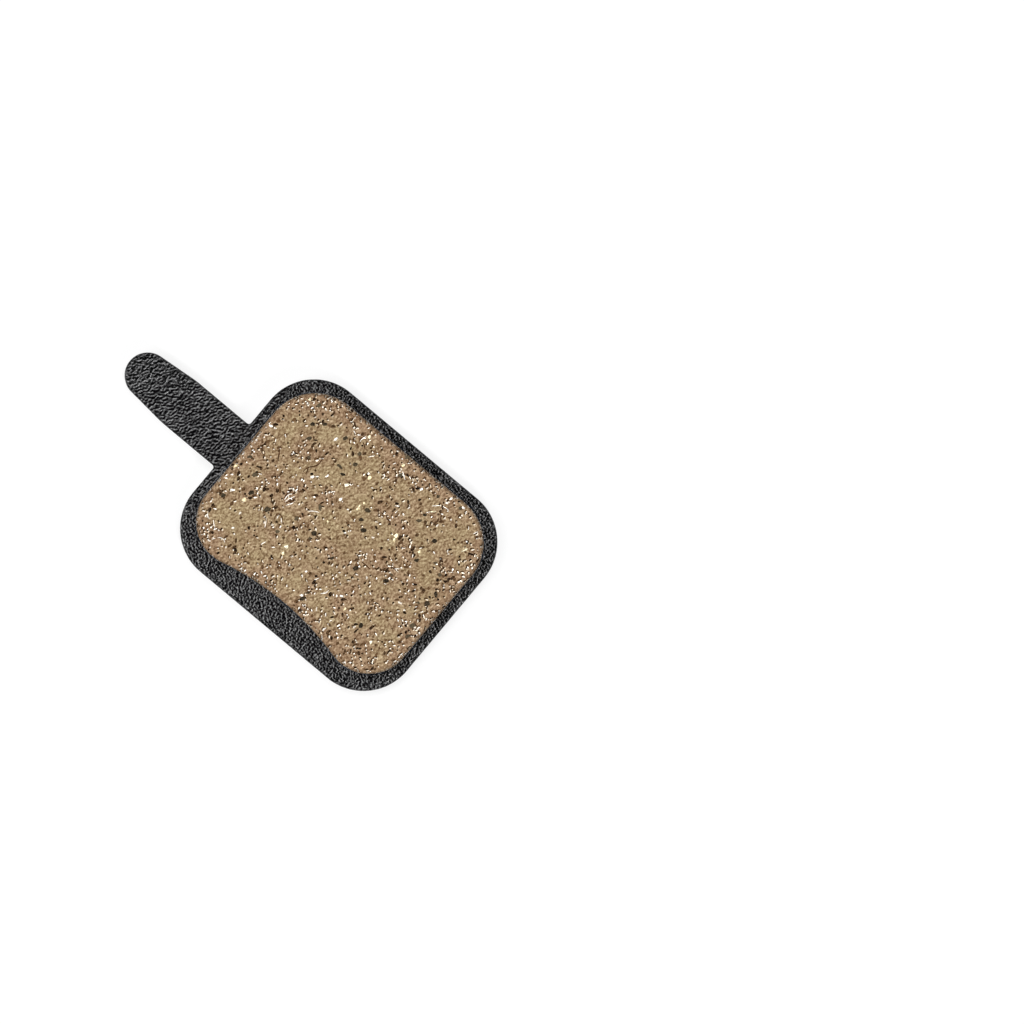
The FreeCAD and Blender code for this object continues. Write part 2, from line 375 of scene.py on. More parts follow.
def randomNumber(low, high, seed):
    return addNode(treeOf(seed), "FunctionNodeRandomValue", {2: low, 3: high, "Seed": seed}, 1,
                   data_type="FLOAT")


def movePoints(geometry, **to):  # Offset or Position
    return addNode(treeOf(geometry), "GeometryNodeSetPosition", {"Geometry": geometry, **to})


def turned(angles):
    return addNode(treeOf(angles), "FunctionNodeEulerToRotation", {0: angles})


def endTree(geometry, material):
    tree = treeOf(geometry)
    realized = addNode(tree, "GeometryNodeRealizeInstances", {"Geometry": geometry})
    painted = addNode(tree, "GeometryNodeSetMaterial", {"Geometry": realized, "Material": material})
    addNode(tree, "NodeGroupOutput", {"Geometry": painted}, None)


def runTree(piece, tree, values):  # sets the inputs, then keeps the result as a plain mesh
    modifier = piece.modifiers.new(tree.name, "NODES")
    modifier.node_group = tree
    for item in tree.interface.items_tree:
        if item.in_out == "INPUT" and item.name in values:
            modifier[item.identifier] = values[item.name]
    ready = piece.evaluated_get(bpy.context.evaluated_depsgraph_get())
    result = bpy.data.meshes.new_from_object(ready)
    piece.modifiers.clear()
    piece.data = result
    print(f"{piece.name}: {sum(len(p.vertices) - 2 for p in result.polygons)} triangles")


def settle(piece, slotName, *nodes):
    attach(piece, "root")
    if nodes:
        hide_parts(*nodes)


# backing plate: blanked steel under a wrinkled black powder coat

plateLook = {
    "frontStep": 0.058, "wallStep": 0.1, "backStep": 0.22, "outlineStep": 0.09,  # mesh spacing, mm
    "roundRings": 5, "hiddenInset": 0.35,  # how far the fine front reaches under the lining, mm
    "tabSpacing": 0.315, "bodySpacing": 0.3, "ridgeHeight": 0.18,  # wrinkles, mm
    "tabRun": 1.1, "bodyRun": 0.9,  # ridges in a patch
    "tabOrder": 0.58, "bodyOrder": 0.35,  # how well they line up
    "tabTurn": -26.0, "bodyTurn": 38.0,  # their direction on the tab and on the body, degrees from X
    "breakUp": 0.4, "breaksPerSpacing": 2.1,  # how the ridges are broken into short pieces
    "foldBand": 0.19, "swellPerSpacing": 0.3, "swellShare": 0.2,  # how steep they are, and a slow swell
    "edgePerSpacing": 1.5, "edgeFolds": (0.28, 0.76),  # plainer folds on the edges and the back
    "edgeRelief": 0.35, "backRelief": 0.6, "pressedRelief": 0.6,  # how much of the height is left there
    "bondWidth": 0.12, "bondFull": 0.4, "bond": (38, 51, 66),  # line of resin round the lining, mm
    # painted light: the ridge colour is a painted highlight on the fold crests; the valley colour is the
    # coat's own black
    "valley": (1, 1, 2), "ridge": (116, 116, 117), "valleyGloss": 0.02, "ridgeGloss": 1.0,
    "roughness": 0.25, "paintedCrestFrom": 0.15, "paintedCrestTo": 0.9, "paintedCrestPower": 2.5,  # painted highlight: which part of a fold is painted pale, standing in for light on the crests
    "dustPerMetre": 900.0, "dust": 0.1, "oozePerMetre": 1100.0, "ooze": 0.9, "oozeBand": 0.1,
    "bumpPerMetre": 7500.0, "bumpStrength": 0.7, "bumpDepth": 0.02,
}


def plateShell():
    look = plateLook
    low, high = (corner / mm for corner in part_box("backing_plate"))
    levels = sorted({round(z, 4) for x, z in nodePoints("backing_plate") if x > high.x - reachGap})
    wallBottom, wallTop = levels[0], levels[-1]
    frontRound, backRound = high.z - wallTop, wallBottom - low.z
    outline, normals = evenOutline(rimLoops("backing_plate", wallTop * mm)[0], look["outlineStep"])
    holes = [evenOutline(loop, look["outlineStep"]) for loop in rimLoops("backing_plate", low.z * mm)[1:]]
    lining, liningNormals = evenOutline(rimLoops("friction_lining", high.z * mm)[0], look["outlineStep"])
    hidden = lining - liningNormals * look["hiddenInset"]

    shell = Shell()
    profile = []  # inset, height and relief of each ring, from the back up
    edge = look["edgeRelief"]
    for k in range(look["roundRings"] - 1):
        turn = radians(90) * k / (look["roundRings"] - 1)
        profile.append((backRound * (1 - sin(turn)), wallBottom - backRound * cos(turn), edge))
    rows = int(round((wallTop - wallBottom) / look["wallStep"]))
    profile += [(0.0, wallBottom + (wallTop - wallBottom) * k / rows, edge) for k in range(rows + 1)]
    for k in range(1, look["roundRings"] + 1):
        turn = radians(90) * k / look["roundRings"]
        rise = edge + (1.0 - edge) * k / look["roundRings"]
        profile.append((frontRound * (1 - cos(turn)), wallTop + frontRound * sin(turn), rise))
    rings = [shell.add(outline - normals * inset, height, relief) for inset, height, relief in profile]
    for lower, upper in zip(rings, rings[1:]):
        shell.wall(lower, upper)

    lowRings, highRings = [], []
    for points, _ in holes:
        lowRing = shell.add(points, low.z, edge)
        highRing = shell.add(points, high.z, 0.0)
        shell.wall(highRing, lowRing)
        lowRings.append(lowRing)
        highRings.append(highRing)

    hiddenRing = shell.add(hidden, high.z, 0.0)
    frontEdge = outline - normals * (frontRound + gridGap * look["frontStep"])
    hiddenEdge = hidden + liningNormals * gridGap * look["frontStep"]
    bare = gridInside([frontEdge, hiddenEdge], look["frontStep"])
    shell.cap([rings[-1], hiddenRing] + highRings, bare, high.z, up=True, holes=highRings)
    backEdge = outline - normals * (backRound + gridGap * look["backStep"])
    around = [points + outward * gridGap * look["backStep"] for points, outward in holes]
    back = gridInside([backEdge] + around, look["backStep"])
    shell.cap([rings[0]] + lowRings, back, low.z, up=False, mark=look["backRelief"], holes=lowRings)

    plate = shell.build("wrinkled_plate")
    frontDepth, farAway = 0.01, 9.0
    onFront = np.array(shell.points)[:, 2] > high.z - frontDepth
    markMesh(plate.data, "toLining", np.where(onFront, distanceTo(shell.points, lining), farAway))
    return plate


def wrinkleTree():
    look = plateLook
    tree, given = newTree("wrinkleCoat", (
        "Tab Spacing", "Body Spacing", "Ridge Height", "Tab Run", "Body Run", "Tab Order", "Body Order",
        "Tab Turn", "Body Turn", "Break Up", "Tab Start", "Bond Width"))
    place = position(tree)
    onTab = remap(splitVector(place)[1], given["Tab Start"], plus(given["Tab Start"], given["Tab Spacing"]))
    spacing, run, order, turn = (remap(onTab, 0.0, 1.0, given["Body " + word], given["Tab " + word])
                                 for word in ("Spacing", "Run", "Order", "Turn"))

    # ridges on the front, broken into short pieces
    gaps = noise(place, over(look["breaksPerSpacing"], spacing), 1.0)
    gaps = times(minus(gaps, 0.5), given["Break Up"])
    waves = plus(ridges(place, over(1.0, times(spacing, run)), run, order, turn), gaps)
    frontFolds = spread(waves, 0.0, 1.0, look["foldBand"])
    edgeFolds = spread(noise(place, over(look["edgePerSpacing"], spacing), 1.0), *look["edgeFolds"])
    folds = remap(facingUp(tree), 0.0, 1.0, edgeFolds, frontFolds)

    # the CAD surface is the ridges' top, and the rest lies below it
    swell = noise(place, over(look["swellPerSpacing"], given["Tab Spacing"]))
    height = plus(times(folds, 1.0 - look["swellShare"]), times(swell, look["swellShare"]))
    depth = minus(maths("MINIMUM", height, 1.0), 1.0)
    bondEnd = times(given["Bond Width"], 2.0)
    pressed = remap(readMark(tree, "toLining"), given["Bond Width"], bondEnd, look["pressedRelief"], 1.0)
    push = times(times(depth, given["Ridge Height"]), times(readMark(tree, "relief"), pressed))
    marked = keepMark(given["Geometry"], "fold", folds)
    folded = movePoints(marked, Offset=vectorMaths("SCALE", outwardWay(tree), scale=push))
    endTree(folded, given["Material"])
    return tree


def coatMaterial():
    look = plateLook
    material, tree, shader, place = newMaterial("black_wrinkle_coat", look["roughness"])
    dust = spread(noise(place, look["dustPerMetre"], 3.0), -look["dust"], look["dust"])
    # painted highlight: the fold's crests are painted pale grey, with random dust in the tone; the same
    # share raises the gloss
    paintedCrestLightAndDust = plus(remap(shaderMark(tree, "fold"), look["paintedCrestFrom"], look["paintedCrestTo"]), dust, clamp=True)
    paintedCrestLightAndDust = maths("POWER", paintedCrestLightAndDust, look["paintedCrestPower"])
    coat = mixColor(paintedCrestLightAndDust, srgb(*look["valley"]), srgb(*look["ridge"]))
    ooze = spread(noise(place, look["oozePerMetre"], 2.0), 0.0, look["ooze"], look["oozeBand"])
    bondFull = look["bondFull"] * look["bondWidth"]
    atLining = remap(shaderMark(tree, "toLining"), bondFull, look["bondWidth"], 1.0, 0.0)
    feed(shader, "Base Color", mixColor(times(ooze, atLining), coat, srgb(*look["bond"])))
    feed(shader, "Specular IOR Level", remap(paintedCrestLightAndDust, 0.0, 1.0, look["valleyGloss"], look["ridgeGloss"]))
    addBump(shader, noise(place, look["bumpPerMetre"], 2.0), look["bumpStrength"], look["bumpDepth"])
    return material


def makePlate():
    look = plateLook
    plate = plateShell()
    runTree(plate, wrinkleTree(), {
        "Tab Spacing": look["tabSpacing"] * mm, "Body Spacing": look["bodySpacing"] * mm,
        "Ridge Height": look["ridgeHeight"] * mm, "Tab Run": look["tabRun"], "Body Run": look["bodyRun"],
        "Tab Order": look["tabOrder"], "Body Order": look["bodyOrder"], "Break Up": look["breakUp"],
        "Bond Width": look["bondWidth"], "Tab Turn": radians(look["tabTurn"] + 90.0),
        "Body Turn": radians(look["bodyTurn"] + 90.0), "Tab Start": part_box("friction_lining")[1].y,
        "Material": coatMaterial()})
    settle(plate, "coated_steel", "backing_plate")


# friction lining: moulded compound, ground flat on its face

liningLook = {
    "faceStep": 0.085, "wallStep": 0.1, "outlineStep": 0.09, "plugStep": 0.16,  # mesh spacing, mm
    "bevelRings": 3, "skirt": 0.15,  # how far the base reaches into the coat, mm
    "wallRelief": 0.35, "drop": 0.03,  # ground face below the slivers' tops, mm
    "grain": 0.22, "grainDepth": 0.02, "grainShare": 0.6, "widerGrain": 0.2,
    "pitSpacing": 1.5, "pitRadius": 0.16, "pitDepth": 0.06,  # mm
    # the last number darkens the colour in the pits: painted shade in the hollows
    "pitFloor": 0.4, "pitSeed": 0.37, "pitPaintedShade": 0.45,
    "khaki": (171, 148, 112), "umber": (165, 136, 106), "roughness": 0.82, "gloss": 0.3,
    "patchesPerMetre": 420.0, "patchBand": 0.14,  # umber patches in the khaki
    "rimUmber": 0.75, "rimFrom": 0.2, "rimTo": 1.6,  # more umber at the rim, mm
    "mottlePerMetre": 2600.0, "mottle": (0.7, 1.2), "swirl": 0.8,  # how far each changes the tone
    "crumbsPerMetre": 4600.0, "crumbs": (0.44, 1.46),
    "grindSpacing": 0.37, "grindRun": 0.85, "grindOrder": 0.45, "streaks": (0.62, 1.38),  # grinding, mm
    "grindTurn": 125.0,  # the direction across its marks in the picture, degrees
    "redPower": 0.82, "bluePower": 1.18,  # dark parts turn brown
    "bumpPerMetre": 7000.0, "bumpStrength": 0.5, "bumpDepth": 0.03,
}


def liningShell():
    look = liningLook
    low, high = (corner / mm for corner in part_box("friction_lining"))
    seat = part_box("backing_plate")[1].z / mm
    base = seat - look["skirt"]
    loops = rimLoops("friction_lining", seat * mm)
    outline, normals = evenOutline(loops[0], look["outlineStep"])
    plugs = [evenOutline(loop, look["plugStep"]) for loop in loops[1:]]
    bevelBottom = sorted({round(z, 4) for x, z in nodePoints("friction_lining")})[-2]
    baseReach = reachAt("friction_lining", seat)
    draft = baseReach - reachAt("friction_lining", bevelBottom)
    bevel = baseReach - reachAt("friction_lining", high.z)

    shell = Shell()
    rows = int(round((bevelBottom - seat) / look["wallStep"]))
    profile = [(0.0, base)]  # inset and height of each ring, from the base up
    profile += [(draft * k / rows, seat + (bevelBottom - seat) * k / rows) for k in range(rows + 1)]
    for k in range(1, look["bevelRings"] + 1):
        share = k / look["bevelRings"]
        profile.append((draft + (bevel - draft) * share, bevelBottom + (high.z - bevelBottom) * share))
    rings = [shell.add(outline - normals * inset, height, look["wallRelief"]) for inset, height in profile]
    for lower, upper in zip(rings, rings[1:]):
        shell.wall(lower, upper)
    faceEdge = outline - normals * (bevel + gridGap * look["faceStep"])
    shell.cap([rings[-1]], gridInside([faceEdge], look["faceStep"]), high.z, up=True)

    stems = []
    for points, outward in plugs:
        topRing = shell.add(points, base, 0.0)
        endRing = shell.add(points, low.z)
        shell.wall(endRing, topRing)
        endFace = gridInside([points - outward * gridGap * look["plugStep"]], look["plugStep"])
        shell.cap([endRing], endFace, low.z, up=False)
        stems.append(topRing)
    shell.cap([rings[0]] + stems, np.zeros((0, 2)), base, up=False, holes=stems)
    lining = shell.build("ground_lining")
    markMesh(lining.data, "toEdge", distanceTo(shell.points, outline[::4]))
    return lining


def groundTree():
    look = liningLook
    tree, given = newTree("groundFace", (
        "Drop", "Grain", "Grain Depth", "Pit Spacing", "Pit Radius", "Pit Depth", "Seed"))
    place = position(tree)
    perGrain = over(1.0, given["Grain"])
    grain = noise(place, perGrain, 2.0, 0.6)
    wide = noise(place, times(perGrain, look["widerGrain"]), 1.0)
    rough = plus(times(grain, look["grainShare"]), times(wide, 1.0 - look["grainShare"]))
    rough = times(minus(rough, 1.0), given["Grain Depth"])

    # frayed pits, each somewhere in a cell of its own
    shifted = vectorMaths("ADD", place, joinVector(given["Seed"], given["Seed"]))
    fray = vectorMaths("SUBTRACT", noise(place, perGrain, output=1), (0.5, 0.5, 0.5))
    frayed = vectorMaths("SCALE", fray, scale=given["Pit Radius"])
    cells = addNode(tree, "ShaderNodeTexVoronoi", {
        "Vector": vectorMaths("ADD", shifted, frayed), "Scale": over(1.0, given["Pit Spacing"]),
        "Randomness": 1.0}, "Distance")
    pitFloor = times(given["Pit Radius"], look["pitFloor"])
    pit = remap(times(cells, given["Pit Spacing"]), pitFloor, given["Pit Radius"], 1.0, 0.0, smooth=True)

    depth = minus(minus(rough, times(pit, given["Pit Depth"])), given["Drop"])
    push = times(depth, readMark(tree, "relief"))
    marked = keepMark(given["Geometry"], "pit", pit)
    marked = keepMark(marked, "onFace", facingUp(tree))
    ground = movePoints(marked, Offset=vectorMaths("SCALE", outwardWay(tree), scale=push))
    endTree(ground, given["Material"])
    return tree


def compoundMaterial():
    look = liningLook
    material, tree, shader, place = newMaterial("friction_compound_matrix", look["roughness"])
    shader.inputs["Specular IOR Level"].default_value = look["gloss"]
    patches = spread(noise(place, look["patchesPerMetre"], 2.0), 0.0, 1.0, look["patchBand"])
    rim = remap(shaderMark(tree, "toEdge"), look["rimFrom"], look["rimTo"], look["rimUmber"], 0.0)
    base = mixColor(plus(patches, rim, clamp=True), srgb(*look["khaki"]), srgb(*look["umber"]))
    mottle = noise(place, look["mottlePerMetre"], 3.0, 0.65, Distortion=look["swirl"])
    crumbs = noise(place, look["crumbsPerMetre"], 1.0, 0.6, Distortion=look["swirl"])
    perPatch = 1.0 / (look["grindSpacing"] * look["grindRun"] * mm)
    grindTurn = imageTurn() + radians(look["grindTurn"])
    streaks = ridges(place, perPatch, look["grindRun"], look["grindOrder"], grindTurn)
    streaks = remap(shaderMark(tree, "onFace"), 0.0, 1.0, 1.0, spread(streaks, *look["streaks"]))
    tone = times(spread(mottle, *look["mottle"]), spread(crumbs, *look["crumbs"]))
    # painted shade: the colour is darkened in the pits
    paintedPitShade = remap(shaderMark(tree, "pit"), 0.0, 1.0, 1.0, look["pitPaintedShade"])
    tone = times(times(tone, streaks), paintedPitShade)
    red, blue = (maths("POWER", tone, look[power]) for power in ("redPower", "bluePower"))
    toneColor = addNode(tree, "ShaderNodeCombineColor", {0: red, 1: tone, 2: blue})
    feed(shader, "Base Color", mixColor(1.0, base, toneColor, "MULTIPLY"))
    addBump(shader, noise(place, look["bumpPerMetre"], 3.0, 0.6), look["bumpStrength"], look["bumpDepth"])
    return material


def makeLining():
    look = liningLook
    lining = liningShell()
    runTree(lining, groundTree(), {
        "Drop": look["drop"] * mm, "Grain": look["grain"] * mm, "Grain Depth": look["grainDepth"] * mm,
        "Pit Spacing": look["pitSpacing"] * mm, "Pit Radius": look["pitRadius"] * mm,
        "Pit Depth": look["pitDepth"] * mm, "Seed": look["pitSeed"], "Material": compoundMaterial()})
    settle(lining, "friction_compound", "friction_lining")
    return lining


# inclusions: metal slivers, chips and mineral grains bedded in the compound

inclusionLook = {
    "segments": 8, "rings": 5,  # of one lump
    "scatteredFray": 9000.0, "beddedFray": 5200.0, "frayUpright": 0.2,  # raggedness, waves per metre
    "metalFlecks": (9000.0, 0.45), "mineralFlecks": (8000.0, 0.5),  # per metre, and their change of tone
    "mineralGloss": 0.04, "clumpsPerMetre": 430.0, "clumpBand": 0.14,
    "edgeReach": 2.2, "leastRelief": 0.3,  # more lie within these mm of the rim, none where it is hidden
    "along": 50.0, "paintedShadowTurn": 128.0,  # degrees in the picture; the second is the side of each sliver on which its painted shadow lies
}


def inclusionMaterial(name, substance, dark, light, roughness):
    material, tree, shader, place = newMaterial(name, roughness)
    if substance == "metal":
        shader.inputs["Metallic"].default_value = 1.0
    else:
        shader.inputs["Specular IOR Level"].default_value = inclusionLook["mineralGloss"]
    perMetre, change = inclusionLook[substance + "Flecks"]
    fleck = spread(noise(place, perMetre, 2.0), -change, change)
    share = plus(shaderMark(tree, "tone"), fleck, clamp=True)
    feed(shader, "Base Color", mixColor(share, srgb(*dark), srgb(*light)))
    return material


def flushWith(surface, place, proud):  # brings what stands out of a surface back to it, but for a little
    tree = treeOf(surface)
    near = addNode(tree, "GeometryNodeProximity", {0: surface}, "Position", target_element="FACES")
    outward = addNode(tree, "GeometryNodeSampleNearestSurface", {
        "Mesh": surface, "Value": outwardWay(tree)}, "Value", data_type="FLOAT_VECTOR")
    height = vectorMaths("DOT_PRODUCT", vectorMaths("SUBTRACT", place, near), outward)
    excess = maths("MAXIMUM", minus(height, proud), 0.0)
    return vectorMaths("SUBTRACT", place, vectorMaths("SCALE", outward, scale=excess))


def lumps(tree, given, points, rotation, size, surface=None):  # one ragged lump at each point, ground flush
    look = inclusionLook
    lump = addNode(tree, "GeometryNodeMeshUVSphere", {
        "Segments": look["segments"], "Rings": look["rings"], "Radius": 0.5})
    placed = addNode(tree, "GeometryNodeInstanceOnPoints", {
        "Points": points, "Instance": lump, "Rotation": rotation, "Scale": size})
    toned = keepMark(placed, "tone", randomNumber(0.0, 1.0, given["Seed"]), "INSTANCE")
    realized = addNode(tree, "GeometryNodeRealizeInstances", {"Geometry": toned})
    place = position(tree)
    fray = vectorMaths("SUBTRACT", noise(place, given["Fray"], 1.0, output=1), (0.5, 0.5, 0.5))
    fray = vectorMaths("MULTIPLY", fray, (1.0, 1.0, look["frayUpright"]))
    shape = movePoints(realized, Offset=vectorMaths("SCALE", fray, scale=given["Ragged"]))
    if surface:
        shape = movePoints(shape, Position=flushWith(surface, place, given["Proud"]))
    x, y, z = splitVector(place)
    capped = joinVector(x, y, maths("MINIMUM", z, given["Top"]))
    endTree(movePoints(shape, Position=capped), given["Material"])


def scatterTree():  # strewn at random over the whole block
    look = inclusionLook
    tree, given = newTree("scatteredLumps", (
        "Density", "Edge Gain", "Clumping", "Short", "Long", "Slim", "Wide", "Thick", "Sink", "Tilt",
        "Along", "Spread", "Ragged", "Fray", "Proud", "Top"), Seed="Int", Drag="Vector")

    def drawn(low, high, offset):
        return randomNumber(low, high, plus(given["Seed"], offset))

    # more of them in clumps and near the rim, none on the hidden base
    nearEdge = times(remap(readMark(tree, "toEdge"), 0.0, look["edgeReach"], 1.0, 0.0), given["Edge Gain"])
    few, many = minus(1.0, given["Clumping"]), plus(1.0, given["Clumping"])
    clump = spread(noise(position(tree), look["clumpsPerMetre"], 2.0), few, many, look["clumpBand"])
    density = times(given["Density"], plus(clump, nearEdge))
    density = times(density, maths("GREATER_THAN", readMark(tree, "relief"), look["leastRelief"]))
    points = addNode(tree, "GeometryNodeDistributePointsOnFaces", {
        "Mesh": given["Geometry"], "Density": density, "Seed": given["Seed"]}, None)
    normal = points["Normal"]

    length = remap(maths("POWER", drawn(0.0, 1.0, 1), 2.0), 0.0, 1.0, given["Short"], given["Long"])
    width = maths("MINIMUM", drawn(given["Slim"], given["Wide"], 2), length)
    size = joinVector(length, width, given["Thick"])
    backTilt = times(given["Tilt"], -1.0)
    tilted = joinVector(*(drawn(backTilt, given["Tilt"], offset) for offset in (3, 4)))
    turn = drawn(minus(given["Along"], given["Spread"]), plus(given["Along"], given["Spread"]), 5)
    lying = addNode(tree, "FunctionNodeAlignRotationToVector", {
        "Rotation": turned(joinVector(z=turn)), "Vector": normal}, axis="Z")
    spun = addNode(tree, "FunctionNodeRotateRotation", {
        0: lying, 1: turned(tilted)}, rotation_space="LOCAL")

    # sunk a little, and moved along the surface by Drag, which sets the painted sliver shadows aside from
    # their slivers
    inward = plus(given["Sink"], vectorMaths("DOT_PRODUCT", given["Drag"], normal))
    shift = vectorMaths("SUBTRACT", given["Drag"], vectorMaths("SCALE", normal, scale=inward))
    sunk = movePoints(points["Points"], Offset=shift)
    lumps(tree, given, sunk, spun, size, given["Geometry"])
    return tree


def beddedTree():  # laid one by one, with a size and a turn of their own
    tree, given = newTree("beddedLumps", ("Ragged", "Fray", "Top"), Seed="Int")
    points = addNode(tree, "GeometryNodeMeshToPoints", {"Mesh": given["Geometry"]})
    spun = turned(joinVector(z=readMark(tree, "turn")))
    lumps(tree, given, points, spun, readMark(tree, "size", "FLOAT_VECTOR"))
    return tree


sliverPlaces = {"density": 2.0, "edgeGain": 1.9, "clumping": 0.85, "seed": 11}

scatteredKinds = {  # density is a count per square millimetre, the rest are millimetres, angles in degrees
    "steel_slivers": {
        **sliverPlaces, "short": 0.14, "long": 0.42, "slim": 0.1, "wide": 0.17, "thick": 0.08,
        "ragged": 0.06, "sink": 0.016, "proud": 0.014, "tilt": 12.0, "spread": 75.0, "drag": 0.0,
        "finish": ("bright_steel_sliver", "metal", (200, 180, 150), (255, 252, 244), 0.42)},
    "sliver_painted_shadows": {  # painted shadow: dark lumps beside each sliver, all pushed to the same side
        **sliverPlaces, "short": 0.2, "long": 0.5, "slim": 0.18, "wide": 0.3, "thick": 0.05,
        "ragged": 0.08, "sink": 0.012, "proud": 0.006, "tilt": 4.0, "spread": 60.0, "drag": 0.13,
        "finish": ("painted_sliver_shadow", "mineral", (28, 17, 9), (112, 86, 58), 0.8)},
    "dark_specks": {
        "density": 1.45, "edgeGain": 0.0, "clumping": 0.9, "seed": 41,
        "short": 0.2, "long": 0.72, "slim": 0.18, "wide": 0.38, "thick": 0.06, "ragged": 0.1,
        "sink": 0.013, "proud": 0.01, "tilt": 5.0, "spread": 55.0, "drag": 0.0,
        "finish": ("brown_black_speck", "mineral", (26, 16, 9), (112, 84, 58), 0.7)},
}


def makeScattered(lining):
    look = inclusionLook
    tree = scatterTree()
    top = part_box("friction_lining")[1].z
    paintedShadowTurn = imageTurn() + radians(look["paintedShadowTurn"])
    paintedShadowWay = (cos(paintedShadowTurn), sin(paintedShadowTurn), 0.0)
    lengths = ("short", "long", "slim", "wide", "thick", "ragged", "sink", "proud")
    for name, kind in scatteredKinds.items():
        piece = addObject(name, lining.data.copy())
        runTree(piece, tree, {
            **{word.title(): kind[word] * mm for word in lengths},
            "Density": kind["density"] / mm**2, "Edge Gain": kind["edgeGain"], "Clumping": kind["clumping"],
            "Seed": kind["seed"], "Tilt": radians(kind["tilt"]), "Spread": radians(kind["spread"]),
            "Along": imageTurn() + radians(look["along"]), "Fray": look["scatteredFray"], "Top": top,
            "Drag": [part * kind["drag"] * mm for part in paintedShadowWay],
            "Material": inclusionMaterial(*kind["finish"])})
        settle(piece, "friction_compound")


